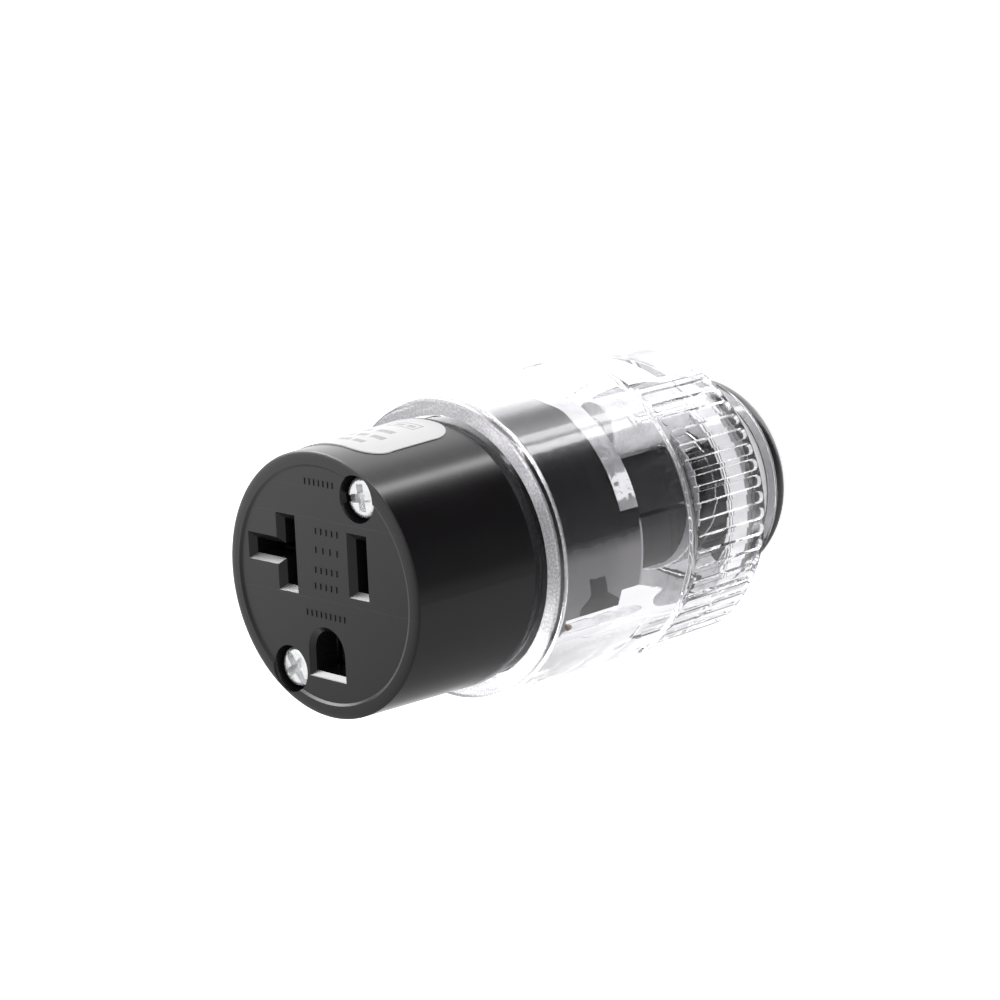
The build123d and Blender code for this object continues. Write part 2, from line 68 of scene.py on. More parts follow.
# ------------------------------------------------------------------ node helpers
class Tree:
    """Short names for building a node tree."""

    def __init__(self, nt):
        self.nt = nt
        nt.nodes.clear()

    def new(self, kind, **props):
        n = self.nt.nodes.new(kind)
        for k, v in props.items():
            setattr(n, k, v)
        return n

    def put(self, socket, value):
        if isinstance(value, bpy.types.NodeSocket):
            self.nt.links.new(value, socket)
        elif value is not None:
            socket.default_value = value

    def math(self, op, a, b=None, c=None, clamp=False):
        n = self.new("ShaderNodeMath", operation=op, use_clamp=clamp)
        self.put(n.inputs[0], a)
        self.put(n.inputs[1], b)
        self.put(n.inputs[2], c)
        return n.outputs[0]

    def rng(self, v, a, b, c=0.0, d=1.0, kind="SMOOTHSTEP"):
        n = self.new("ShaderNodeMapRange", interpolation_type=kind, clamp=True)
        self.put(n.inputs["Value"], v)
        n.inputs["From Min"].default_value = a
        n.inputs["From Max"].default_value = b
        n.inputs["To Min"].default_value = c
        n.inputs["To Max"].default_value = d
        return n.outputs[0]

    def mix(self, f, a, b):
        n = self.new("ShaderNodeMix", data_type="RGBA")
        self.put(n.inputs[0], f)
        self.put(n.inputs[6], a)
        self.put(n.inputs[7], b)
        return n.outputs[2]

    def mixf(self, f, a, b):
        n = self.new("ShaderNodeMix", data_type="FLOAT")
        self.put(n.inputs[0], f)
        self.put(n.inputs[2], a)
        self.put(n.inputs[3], b)
        return n.outputs[0]

    def xyz(self, v):
        n = self.new("ShaderNodeSeparateXYZ")
        self.put(n.inputs[0], v)
        return n.outputs

    def noise(self, vec, scale, detail=3.0, rough=0.5, distortion=0.0):
        n = self.new("ShaderNodeTexNoise")
        self.put(n.inputs["Vector"], vec)
        n.inputs["Scale"].default_value = scale
        n.inputs["Detail"].default_value = detail
        n.inputs["Roughness"].default_value = rough
        n.inputs["Distortion"].default_value = distortion
        return n.outputs[0]

    def voronoi(self, vec, scale, feature="F1"):
        n = self.new("ShaderNodeTexVoronoi", feature=feature)
        self.put(n.inputs["Vector"], vec)
        n.inputs["Scale"].default_value = scale
        return n.outputs[0]

    def scaled(self, vec, s):
        n = self.new("ShaderNodeVectorMath", operation="MULTIPLY")
        self.put(n.inputs[0], vec)
        n.inputs[1].default_value = s
        return n.outputs[0]

    def bump(self, height, strength, distance, normal=None):
        n = self.new("ShaderNodeBump")
        n.inputs["Strength"].default_value = strength
        n.inputs["Distance"].default_value = distance
        self.put(n.inputs["Height"], height)
        if normal is not None:
            self.put(n.inputs["Normal"], normal)
        return n.outputs[0]

    def band(self, v, centre, half, soft):
        """1 inside centre +- half, falling to 0 over soft."""
        d = self.math("ABSOLUTE", self.math("SUBTRACT", v, centre))
        return self.rng(d, half, half + soft, 1.0, 0.0)


def material(name):
    m = bpy.data.materials.new(name)
    m.use_nodes = True
    t = Tree(m.node_tree)
    out = t.new("ShaderNodeOutputMaterial")
    b = t.new("ShaderNodeBsdfPrincipled")
    t.nt.links.new(b.outputs[0], out.inputs[0])
    coord = t.new("ShaderNodeTexCoord").outputs["Object"]
    return m, t, b, coord


def dress(node, mat):
    o = N[node]
    o.data.materials.clear()
    o.data.materials.append(mat)


# ------------------------------------------------------------------ black mouldings
def black_front():
    m, t, b, co = material("front_black")
    x, y, z = t.xyz(co)
    mm = t.scaled(co, (1000.0, 1000.0, 1000.0))
    disc = t.rng(z, LENGTH - 0.00045, LENGTH - 0.00035)
    fine = t.noise(mm, 5.5, 3.0, 0.6)
    wide = t.noise(mm, 0.22, 2.0, 0.5)
    col = t.mix(wide, (0.0066, 0.0058, 0.0068, 1), (0.0088, 0.0078, 0.0088, 1))
    t.put(b.inputs["Base Color"], col)
    side_r = t.math("ADD", t.math("MULTIPLY", wide, 0.05), 0.15)
    face_r = t.math("ADD", t.math("MULTIPLY", fine, 0.10), 0.30)
    t.put(b.inputs["Roughness"], t.mixf(disc, side_r, face_r))
    b.inputs["IOR"].default_value = 1.5
    # painted sheen: the face reflects more strongly towards its top left, standing in for the light falling there
    mx = t.math("MULTIPLY", x, 1000.0)
    my = t.math("MULTIPLY", y, 1000.0)
    lean = t.math("ADD", t.math("MULTIPLY", my, 0.0085), t.math("MULTIPLY", mx, -0.0050))
    shine = t.math("ADD", t.math("MULTIPLY", lean, disc), 0.49)
    n = t.new("ShaderNodeNewGeometry").outputs["True Normal"]
    nx, ny, nz = t.xyz(n)
    # painted highlight: the up-facing lead-in chamfers of the slots get a paler base colour, full reflection and
    # set roughness, standing in for the overhead light
    lit_lead_in = t.math("MULTIPLY", t.band(z, LENGTH - 0.0009, 0.0006, 0.00003), t.math("MULTIPLY", t.rng(ny, 0.40, 0.50), t.rng(nz, 0.30, 0.40)))
    rad = t.math("SQRT", t.math("ADD", t.math("MULTIPLY", mx, mx), t.math("MULTIPLY", my, my)))
    lit_lead_in = t.math("MULTIPLY", lit_lead_in, t.rng(rad, 14.4, 14.6, 1.0, 0.0))
    lit_lead_in = t.math("MULTIPLY", lit_lead_in, t.rng(my, -10.6, -9.6, 0.30, 1.0))
    shine = t.mixf(lit_lead_in, shine, 1.0)
    t.put(b.inputs["Specular IOR Level"], shine)
    t.put(b.inputs["Roughness"], t.mixf(lit_lead_in, t.mixf(disc, side_r, face_r), 0.36))
    # painted highlight: a pale line along the recess edge at the right, standing in for light catching that edge
    rim_highlight = t.math("MULTIPLY", t.band(rad, 15.2, 0.10, 0.10), t.rng(z, LENGTH - 0.0008, LENGTH - 0.0006))
    rim_highlight = t.math("MULTIPLY", rim_highlight, t.math("MULTIPLY", t.rng(mx, 6.0, 11.0), t.rng(my, -13.0, 8.0, 1.0, 0.35)))
    t.put(b.inputs["Base Color"], t.mix(t.math("MULTIPLY", rim_highlight, 0.6), t.mix(lit_lead_in, col, (0.05, 0.048, 0.05, 1)), (0.16, 0.155, 0.16, 1)))
    # faint tool lines on the disc: the edges of a separate core in the mould
    l1 = t.band(my, -1.9, 0.03, 0.05)
    l2 = t.band(my, 8.3, 0.03, 0.05)
    between = t.band(my, 3.2, 5.1, 0.05)
    l3 = t.math("MULTIPLY", t.band(mx, -4.2, 0.02, 0.05), between)
    l4 = t.math("MULTIPLY", t.band(my, 12.1, 0.02, 0.05), t.band(mx, -5.75, 2.95, 0.1))
    lines = t.math("ADD", t.math("ADD", l1, l2), t.math("ADD", l3, l4), clamp=True)
    lines = t.math("MULTIPLY", lines, disc)
    h = t.math("SUBTRACT", t.math("MULTIPLY", fine, t.mixf(disc, 0.35, 1.0)), t.math("MULTIPLY", lines, 3.0))
    # a few hair scratches round the side wall
    sc = t.noise(t.scaled(co, (300.0, 300.0, 2600.0)), 1.0, 2.0, 0.4, 0.6)
    scr = t.rng(sc, 0.70, 0.74)
    h = t.math("SUBTRACT", h, t.math("MULTIPLY", scr, 0.6))
    t.put(b.inputs["Normal"], t.bump(h, 0.35, 0.00002))
    return m


def black_inner(name, rough=0.3, flow=0.25):
    m, t, b, co = material(name)
    mm = t.scaled(co, (1000.0, 1000.0, 1000.0))
    wide = t.noise(mm, 0.3, 3.0, 0.55)
    fine = t.noise(mm, 4.0, 3.0, 0.6)
    t.put(b.inputs["Base Color"], t.mix(wide, (0.014, 0.013, 0.0145, 1), (0.026, 0.025, 0.027, 1)))
    t.put(b.inputs["Roughness"], t.math("ADD", t.math("MULTIPLY", wide, 0.12), rough - 0.06))
    t.put(b.inputs["Normal"], t.bump(fine, flow, 0.00002))
    return m


def carrier_black():
    """Black moulding, grey low on its sides and more so towards the rear, but for one darker patch that also
    reflects less.
    """
    m, t, b, co = material("carrier_black")
    x, y, z = t.xyz(co)
    mm = t.scaled(co, (1000.0, 1000.0, 1000.0))
    wide = t.noise(mm, 0.3, 3.0, 0.55)
    fine = t.noise(mm, 4.0, 3.0, 0.6)
    mottle = t.noise(mm, 9.0, 2.0, 0.7)
    th = t.math("DEGREES", t.math("ARCTAN2", y, x))
    d = t.math("MULTIPLY", t.math("SUBTRACT", LENGTH, z), 1000.0)
    wob = t.math("MULTIPLY", t.math("SUBTRACT", t.noise(mm, 0.55, 2.0, 0.5), 0.5), 3.0)
    tw = t.math("ADD", th, wob)
    # along the patch: narrow at the top, wide at the foot
    half = t.rng(th, -22.5, -15.5, 3.7, 1.5)
    mid = t.rng(th, -24.0, -9.0, 31.9, 30.3, "LINEAR")
    off = t.math("ABSOLUTE", t.math("SUBTRACT", t.math("ADD", d, t.math("MULTIPLY", wob, 0.12)), mid))
    inside = t.rng(t.math("SUBTRACT", off, half), -0.12, 0.12, 1.0, 0.0)
    # one darker patch, where the grey is left out and reflection is weaker
    dark_patch = t.math("MULTIPLY", inside, t.rng(tw, -9.6, -8.6, 1.0, 0.0))
    # grey over the lower sides, fading at the very bottom, mottled and stronger towards the rear
    low_grey = t.math("MULTIPLY", t.rng(tw, -2.0, 8.5, 1.0, 0.0), t.rng(th, -100.0, -60.0, 0.35, 1.0))
    low_grey = t.math("MULTIPLY", low_grey, t.math("SUBTRACT", 1.0, dark_patch))
    low_grey = t.math("MULTIPLY", low_grey, t.math("ADD", t.math("MULTIPLY", mottle, 0.5), 0.75))
    low_grey = t.math("MULTIPLY", low_grey, t.rng(d, 31.5, 36.5, 1.0, 1.4))
    # painted highlight: a pale line along its rear edge, standing in for light catching that edge
    rear_edge_highlight = t.math("MULTIPLY", t.rng(d, 38.5, 38.62), t.band(th, -6.0, 14.0, 3.0))
    black = t.mix(wide, (0.010, 0.009, 0.0105, 1), (0.018, 0.017, 0.019, 1))
    low_greyed = t.mix(t.math("MULTIPLY", low_grey, 0.50), black, (0.28, 0.275, 0.285, 1))
    t.put(b.inputs["Base Color"], t.mix(t.math("MULTIPLY", rear_edge_highlight, 0.8), low_greyed, (0.42, 0.415, 0.43, 1)))
    t.put(b.inputs["Specular IOR Level"], t.mixf(dark_patch, 0.5, 0.12))
    t.put(b.inputs["Roughness"], t.math("ADD", t.math("MULTIPLY", low_grey, 0.25), t.math("ADD", t.math("MULTIPLY", wide, 0.10), 0.15)))
    t.put(b.inputs["Normal"], t.bump(fine, 0.25, 0.00002))
    return m


def gland_black():
    m, t, b, co = material("gland_black")
    mm = t.scaled(co, (1000.0, 1000.0, 1000.0))
    wide = t.noise(mm, 0.25, 2.0, 0.5)
    fine = t.noise(mm, 6.0, 2.0, 0.5)
    t.put(b.inputs["Base Color"], t.mix(wide, (0.010, 0.0095, 0.011, 1), (0.016, 0.015, 0.017, 1)))
    t.put(b.inputs["Roughness"], t.math("ADD", t.math("MULTIPLY", wide, 0.10), 0.22))
    t.put(b.inputs["Normal"], t.bump(fine, 0.15, 0.00002))
    return m


# ------------------------------------------------------------------ clear plastic
def clear():
    m, t, b, co = material("clear_plastic")
    x, y, z = t.xyz(co)
    mm = t.scaled(co, (1000.0, 1000.0, 1000.0))
    wide = t.noise(mm, 0.12, 2.0, 0.5)
    fine = t.noise(mm, 1.4, 2.0, 0.5)
    grit = t.noise(mm, 3.2, 3.0, 0.7)
    # the front edge is left as it was cut: frosted, with small bright chips
    frost = t.rng(z, LENGTH - 0.02230, LENGTH - 0.02205)
    tint = t.mix(wide, (0.975, 0.970, 0.995, 1), (0.995, 0.992, 1.0, 1))
    chips = t.mix(t.rng(grit, 0.42, 0.62), (0.52, 0.51, 0.54, 1), (0.95, 0.95, 0.97, 1))
    t.put(b.inputs["Base Color"], t.mix(frost, tint, chips))
    t.put(b.inputs["Transmission Weight"], t.mixf(frost, 1.0, 0.78))
    # the walls bend light less where they are seen on edge, low and high
    th = t.math("DEGREES", t.math("ARCTAN2", y, x))
    up = t.math("SINE", t.math("RADIANS", th))
    edge = t.math("ADD", t.rng(up, -0.52, -0.36, 1.0, 0.0), t.rng(up, 0.84, 0.92))
    edge = t.math("MAXIMUM", edge, t.rng(x, -0.003, 0.0, 1.0, 0.0))
    d = t.math("MULTIPLY", t.math("SUBTRACT", LENGTH, z), 1000.0)
    t.put(b.inputs["IOR"], t.mixf(edge, 1.52, 1.22))
    t.put(b.inputs["Specular IOR Level"], t.rng(up, 0.72, 0.88, 0.5, 1.0))
    # a little greyer low down, most of all near the front edge
    grey = t.math("MULTIPLY", t.rng(up, -0.84, -0.45, 1.0, 0.0), t.rng(d, 24.0, 46.0, 1.0, 0.08))
    tint = t.mix(grey, tint, (0.56, 0.555, 0.565, 1))
    chips = t.mix(t.math("MAXIMUM", t.rng(up, 0.45, 0.75), t.rng(up, -0.9, -0.2, 0.75, 0.0)), chips,
                  t.mix(t.rng(grit, 0.42, 0.62), (0.34, 0.33, 0.36, 1), (0.58, 0.57, 0.59, 1)))
    t.put(b.inputs["Base Color"], t.mix(frost, tint, chips))
    rough = t.rng(fine, 0.3, 0.8, 0.0, 0.04, "LINEAR")
    t.put(b.inputs["Roughness"], t.mixf(frost, rough, 0.32))
    plain = t.math("ADD", wide, t.math("MULTIPLY", fine, 0.10))
    h = t.mixf(frost, plain, t.math("MULTIPLY", grit, 1.4))
    t.put(b.inputs["Normal"], t.bump(h, 0.12, 0.0002))
    return m


def milky_lit_plastic():
    """The posts' thick plastic, made milky white as painted light: it stands in for the bright light seen through
    the walls there.
    """
    m, t, b, co = material("post_plastic_painted_light")
    mm = t.scaled(co, (1000.0, 1000.0, 1000.0))
    wide = t.noise(mm, 0.35, 3.0, 0.6)
    t.put(b.inputs["Base Color"], t.mix(wide, (0.95, 0.945, 0.97, 1), (0.99, 0.99, 1.0, 1)))
    t.put(b.inputs["Transmission Weight"], t.rng(wide, 0.35, 0.65, 0.08, 0.30))
    b.inputs["IOR"].default_value = 1.45
    t.put(b.inputs["Roughness"], t.rng(wide, 0.3, 0.7, 0.12, 0.30))
    t.put(b.inputs["Normal"], t.bump(wide, 0.3, 0.0003))
    return m


# ------------------------------------------------------------------ metals
def metal(name, c0, c1, rough, scale=2.0, bump=0.3, brushed=None, tail=None):
    m, t, b, co = material(name)
    mm = t.scaled(co, (1000.0, 1000.0, 1000.0))
    n1 = t.noise(mm, scale, 3.0, 0.55)
    src = n1
    if brushed is not None:
        src = t.noise(t.scaled(co, brushed), 1.0, 3.0, 0.6)
    col = t.mix(n1, c0, c1)
    if tail is not None:
        # painted shade and light: darker inside the front moulding, where the slots are in shade, and brighter
        # behind it
        x, y, z = t.xyz(co)
        col = t.mix(t.rng(z, LENGTH - 0.0220, LENGTH - 0.0210, 1.0, 0.0), col, tail)
    t.put(b.inputs["Base Color"], col)
    b.inputs["Metallic"].default_value = 1.0
    t.put(b.inputs["Roughness"], t.math("ADD", t.math("MULTIPLY", n1, 0.14), rough - 0.07))
    t.put(b.inputs["Normal"], t.bump(src, bump, 0.00004))
    return m


def strap_nickel():
    """Nickel strip: mottled, with one painted highlight swirl near its low end."""
    m, t, b, co = material("nickel_strap")
    x, y, z = t.xyz(co)
    mm = t.scaled(co, (1000.0, 1000.0, 1000.0))
    th = t.math("DEGREES", t.math("ARCTAN2", y, x))
    d = t.math("MULTIPLY", t.math("SUBTRACT", LENGTH, z), 1000.0)
    n1 = t.noise(mm, 0.45, 3.0, 0.6, 0.8)
    n2 = t.noise(mm, 2.4, 2.0, 0.6)
    near = t.math("SUBTRACT", t.math("ADD", th, t.math("MULTIPLY", n1, 9.0)), 29.5)
    arc1 = t.band(t.math("SUBTRACT", t.math("ABSOLUTE", near), t.math("MULTIPLY", t.math("SUBTRACT", d, 35.5), 1.1)), 1.2, 0.7, 0.8)
    spot = t.math("MULTIPLY", t.band(near, 0.0, 4.5, 2.0), t.rng(n1, 0.40, 0.52))
    # painted highlight: a white, non-metallic swirl standing in for a bright reflection
    swirl_highlight = t.math("ADD", t.math("MULTIPLY", arc1, t.band(near, 0.0, 6.0, 1.0)), spot, clamp=True)
    base = t.mix(n1, (0.34, 0.34, 0.35, 1), (0.82, 0.82, 0.83, 1))
    t.put(b.inputs["Base Color"], t.mix(swirl_highlight, base, (1.0, 1.0, 1.0, 1)))
    t.put(b.inputs["Metallic"], t.mixf(swirl_highlight, 0.5, 0.0))
    t.put(b.inputs["Roughness"], t.math("ADD", t.math("MULTIPLY", n1, 0.3), 0.25))
    h = t.math("ADD", t.math("MULTIPLY", n1, 1.0), t.math("MULTIPLY", n2, 0.12))
    t.put(b.inputs["Normal"], t.bump(h, 0.8, 0.0003))
    return m


def screw_metal():
    """Zinc plated screw: its thread shows as a fine helix on the shank."""
    m, t, b, co = material("screw_zinc")
    x, y, z = t.xyz(co)
    mm = t.scaled(co, (1000.0, 1000.0, 1000.0))
    n1 = t.noise(mm, 1.6, 3.0, 0.6)
    t.put(b.inputs["Base Color"], t.mix(n1, (0.74, 0.75, 0.76, 1), (0.96, 0.97, 0.98, 1)))
    head = t.rng(z, LENGTH - 0.0052, LENGTH - 0.0048)
    t.put(b.inputs["Metallic"], t.mixf(head, 0.35, 0.85))
    t.put(b.inputs["Roughness"], t.math("ADD", t.math("MULTIPLY", n1, 0.24), t.mixf(head, 0.3, 0.12)))
    wave = t.math("SINE", t.math("MULTIPLY", z, 2 * math.pi / 0.0008))
    shank = t.rng(z, LENGTH - 0.0052, LENGTH - 0.0048, 1.0, 0.0)
    h = t.math("ADD", t.math("MULTIPLY", t.math("MULTIPLY", wave, shank), 0.4), t.math("MULTIPLY", n1, 0.9))
    t.put(b.inputs["Normal"], t.bump(h, 0.8, 0.00012))
    return m


def label_paper():
    m, t, b, co = material("label_white")
    x, y, z = t.xyz(co)
    mm = t.scaled(co, (1000.0, 1000.0, 1000.0))
    th = t.math("DEGREES", t.math("ARCTAN2", y, x))
    d = t.math("MULTIPLY", t.math("SUBTRACT", LENGTH, z), 1000.0)
    ink = None
    # rows of plain bars: (theta0, theta1, d0, d1)
    for (a0, a1, d0, d1) in (
        (84, 90, 6.2, 7.1), (92, 99, 6.2, 7.1), (102, 106, 6.2, 7.1), (109, 118, 6.2, 7.1), (122, 131, 6.2, 7.1),
        (81, 88, 8.7, 9.7), (91, 96, 8.7, 9.7), (99, 110, 8.7, 9.7), (114, 121, 8.7, 9.7), (125, 137, 8.7, 9.7),
        (84, 93, 11.2, 12.2), (97, 103, 11.2, 12.2), (106, 112, 11.2, 12.2), (117, 128, 11.2, 12.2),
        (82, 98, 14.4, 14.6), (82, 98, 16.2, 16.4), (82, 82.6, 14.4, 16.4), (97.4, 98, 14.4, 16.4),
        (84, 88, 15.0, 15.7), (90, 95.5, 15.0, 15.7),
        (103, 112, 14.9, 15.8), (116, 124, 14.9, 15.8),
    ):
        bt = t.band(th, (a0 + a1) / 2, (a1 - a0) / 2, 0.25)
        bd = t.band(d, (d0 + d1) / 2, (d1 - d0) / 2, 0.08)
        one = t.math("MULTIPLY", bt, bd)
        ink = one if ink is None else t.math("MAXIMUM", ink, one)
    grain = t.noise(mm, 7.0, 3.0, 0.6)
    speck = t.rng(grain, 0.35, 0.62, 0.55, 1.0)
    ink = t.math("MULTIPLY", ink, speck)
    t.put(b.inputs["Base Color"], t.mix(ink, (0.64, 0.64, 0.645, 1), (0.26, 0.26, 0.27, 1)))
    t.put(b.inputs["Roughness"], t.math("ADD", t.math("MULTIPLY", grain, 0.1), 0.3))
    t.put(b.inputs["Normal"], t.bump(grain, 0.1, 0.00002))
    return m


def silicone():
    m, t, b, co = material("seal_silicone")
    mm = t.scaled(co, (1000.0, 1000.0, 1000.0))
    g = t.noise(mm, 2.0, 4.0, 0.6)
    t.put(b.inputs["Base Color"], t.mix(g, (0.93, 0.93, 0.945, 1), (0.98, 0.98, 0.99, 1)))
    t.put(b.inputs["Roughness"], t.math("ADD", t.math("MULTIPLY", g, 0.2), 0.42))
    t.put(b.inputs["Normal"], t.bump(g, 0.3, 0.00005))
    return m


front = black_front()
jaw = black_inner("jaw_black", 0.34, 0.4)
nickel = strap_nickel()
# brass: very dark in front as painted shade inside the slots, pale behind as painted light
brass = metal("brass_contact", (0.07, 0.055, 0.03, 1), (0.12, 0.09, 0.05, 1), 0.42, 1.6, 0.3, (900.0, 900.0, 120.0), (0.74, 0.66, 0.48, 1))
plate = metal("plate_nickel", (0.58, 0.58, 0.57, 1), (0.76, 0.76, 0.75, 1), 0.30, 2.0, 0.3)
silver = metal("terminal_silver", (0.66, 0.66, 0.65, 1), (0.84, 0.84, 0.83, 1), 0.24, 2.0, 0.3)
green = metal("terminal_green", (0.02, 0.16, 0.05, 1), (0.05, 0.30, 0.10, 1), 0.30, 1.8, 0.3)
dress("front_body", front)
dress("contact_carrier", carrier_black())
dress("carrier_strap", nickel)
clear_mat = clear()
milky_lit_mat = milky_lit_plastic()
dress("clear_housing", clear_mat)
dress("upper_clamp_jaw", jaw)
dress("lower_clamp_jaw", jaw)
dress("cord_gland", gland_black())
dress("cord_seal", silicone())
dress("assembly_screws", screw_metal())
dress("threaded_inserts", plate)
for n in ("hot_contact", "neutral_contact"):
    dress(n, brass)
dress("ground_contact", plate)
dress("hot_terminal_screw", brass)
dress("neutral_terminal_screw", silver)
dress("ground_terminal_screw", green)
for n in ("hot_pressure_plate", "neutral_pressure_plate", "ground_pressure_plate"):
    dress(n, plate)
dress("rating_label", label_paper())

# ------------------------------------------------------------------ clear shell
# The housing's own shape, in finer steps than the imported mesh, so that its walls
# bend light smoothly.  One closed skin: rows follow the outline, columns go round.
PITCH, CELLS, CELL0 = 6.12, 19, -58.14
PAD_EDGE = 59.7
RING, FLOOR_R, PAD_R = 20.5, 20.0, 19.85
TOP_W, LOW_W = 0.80, 0.66
CAP_FRONT, CAP_REAR = 47.86, 59.93


def shell_columns():
    """(base angle, cell centre or None, place in the cell, on a pad)"""
    cols = []
    for side in (0.0, 180.0):
        for k in range(CELLS):
            c = side + CELL0 + (k + 0.5) * PITCH
            for j, off in enumerate((-3.06, -2.04, -1.02, 0.0, 1.02, 2.04)):
                cols.append((c + off, c, j, False))
        cols.append((side - CELL0, None, 0, False))
        cols.append((side + PAD_EDGE, None, 0, False))
        n = 60
        for k in range(n + 1):
            cols.append((side + PAD_EDGE + (180.0 - 2 * PAD_EDGE) * k / n, None, 0, True))
        cols.append((side + 180.0 - PAD_EDGE, None, 0, False))
    return cols


def arc(cr, cd, r, a0, a1, n):
    """points of an arc in the outline; angles from the radius axis towards depth"""
    return [(cr + r * math.cos(math.radians(a0 + (a1 - a0) * k / n)),
             cd + r * math.sin(math.radians(a0 + (a1 - a0) * k / n))) for k in range(n + 1)]


def shell_rows():
    """each row is ("plain", r, d), ("pad", r, d) or a cap row of the flutes"""
    rows = []

    def plain(*pts):
        rows.extend(("plain", r, d) for r, d in pts)
    plain((17.55, 21.75), (18.3, 21.75), (19.12, 21.75))
    plain(*arc(19.12, 22.08, 0.33, -75, 0, 4))
    plain((19.45, 22.75))
    plain(*arc(19.28, 22.75, 0.17, 20, 70, 2))
    plain((19.25, 22.98), (19.27, 23.02))
    plain(*arc(19.34, 23.35, 0.32, -75, 0, 4))
    plain((19.663, 23.45), (19.8, 29.2), (19.93, 34.6), (20.06, 40.0), (20.197, 45.6), (20.2, 45.72), (20.24, 45.8))
    plain(*arc(20.32, 46.13, 0.30, -85, 0, 5))
    plain(*arc(20.32, 46.62, 0.30, 0, 52, 4))
    plain((RING, 46.93), (RING, 47.0))
    rows.append(("pad", RING, 47.0))
    rows.append(("tip", -1, 47.0))
    for psi in (90, 72, 54, 36, 18, 0):
        rows.append(("cap", -1, psi))
    rows.append(("cap", 0, 53.9))
    for psi in (0, 18, 36, 54, 72, 90):
        rows.append(("cap", 1, psi))
    rows.append(("tip", 1, 0))
    rows.append(("pad", RING, 60.9 - 0.13))
    for r, d in arc(RING - 0.23, 60.77, 0.23, 15, 90, 5):
        rows.append(("pad", r, d))
    plain((19.0, 61.0), (16.5, 61.0))
    plain(*arc(14.6, 61.5, 0.5, -90, -180, 5))
    plain((14.1, 61.6), (14.1, 64.4), (14.1, 67.7), (14.1, 70.9), (14.1, 71.0), (14.2, 71.1))
    plain(*arc(14.1, 71.26, 0.16, -50, 90, 5))
    plain((13.6, 71.42), (10.78, 71.42), (10.75, 71.39), (10.75, 66.0), (10.75, 62.0), (10.75, 58.0), (10.72, 57.97), (8.93, 57.97),
          (8.9, 57.94), (8.9, 57.03), (8.93, 57.0), (12.0, 57.0), (15.6, 57.0), (15.7, 57.0))
    plain(*arc(15.7, 55.4, 1.6, 75, 0, 5))
    plain((17.3, 55.3), (17.3, 50.0), (17.3, 43.0), (17.3, 36.0), (17.3, 29.0), (17.3, 22.4), (17.3, 22.3), (17.55, 22.05),
          (17.55, 21.78))
    return rows


def shell():
    cols = shell_columns()
    rows = shell_rows()
    # the neck's rear end, against the gland, is made milky like the posts as painted light, but for an arc left
    # clear where the gland shows dark through it
    painted_light_faces = [kind == "plain" and r < 13.7 and d > 71.4 for kind, r, d in rows]
    bm = bmesh.new()
    grid = []
    for kind, a, v in rows:
        line = []
        for base, centre, j, pad in cols:
            th = base
            if kind == "plain":
                r, d = a, v
            elif kind == "pad":
                r, d = (min(a, PAD_R) if pad else a), v
            else:
                end = CAP_FRONT if a < 0 else CAP_REAR
                psi = 90 if kind == "tip" else v
                if kind == "cap" and a == 0:
                    d_top = d_low = v
                    c = 1.0
                else:
                    c = math.cos(math.radians(psi))
                    sn = math.sin(math.radians(psi)) * a
                    d_top, d_low = end + TOP_W * sn, end + LOW_W * sn
                r, d = (PAD_R if pad else RING), d_top
                if centre is not None and j > 0:
                    if kind == "tip":
                        th = centre
                    elif j in (1, 5):
                        th = centre + (-1 if j == 1 else 1) * math.degrees(TOP_W / RING) * c
                    else:
                        th = centre + (j - 3) * math.degrees(LOW_W / FLOOR_R) * c
                        r, d = FLOOR_R, d_low
            q = math.radians(th)
            line.append(bm.verts.new((r * math.cos(q) / 1000, r * math.sin(q) / 1000, LENGTH - d / 1000)))
        grid.append(line)
    for i in range(len(grid)):
        one, two = grid[i], grid[(i + 1) % len(grid)]
        for j in range(len(cols)):
            k = (j + 1) % len(cols)
            f = bm.faces.new((one[j], one[k], two[k], two[j]))
            side = (cols[j][0] + 180.0) % 360.0 - 180.0
            f.material_index = 1 if painted_light_faces[i] and not -58.0 < side < 46.0 else 0
    # painted light too: the corners where the grip band steps down to its pads are made milky
    for f in bm.faces:
        c = f.calc_center_median()
        deg = abs(math.degrees(math.atan2(c.y, c.x)))
        if 46.2 < (LENGTH - c.z) * 1000 < 48.6 and min(abs(deg - 59.4), abs(deg - 120.6)) < 1.4 and c.xy.length > 0.0196:
            f.material_index = 1
    bmesh.ops.remove_doubles(bm, verts=bm.verts, dist=2e-7)
    bmesh.ops.dissolve_degenerate(bm, dist=1e-7, edges=bm.edges)
    # two posts, each round a threaded insert
    for sgn in (1, -1):
        x, y = sgn * 6.75, sgn * 11.75
        ring_pts = [(1.9, 42.0), (3.25, 42.0), (3.4, 42.15), (3.4, 54.9), (3.3, 56.98), (1.9, 56.98), (1.9, 54.65),
                    (2.55, 54.65), (2.55, 49.35), (1.9, 49.35)]
        n = 64
        loops = [[bm.verts.new(((x + r * math.cos(2 * math.pi * q / n)) / 1000, (y + r * math.sin(2 * math.pi * q / n)) / 1000,
                                LENGTH - d / 1000)) for q in range(n)] for r, d in ring_pts]
        for i in range(len(loops)):
            one, two = loops[i], loops[(i + 1) % len(loops)]
            for q in range(n):
                f = bm.faces.new((one[q], one[(q + 1) % n], two[(q + 1) % n], two[q]))
                f.material_index = 1
    bmesh.ops.recalc_face_normals(bm, faces=bm.faces)
    me = bpy.data.meshes.new("clear_shell")
    bm.to_mesh(me)
    bm.free()
    me.polygons.foreach_set("use_smooth", [True] * len(me.polygons))
    me.set_sharp_from_angle(angle=math.radians(28))
    o = bpy.data.objects.new("clear_shell", me)
    scene.collection.objects.link(o)
    o.data.materials.append(clear_mat)
    o.data.materials.append(milky_lit_mat)
    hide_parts("clear_housing")
    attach(o, "root")
    return o


shell()

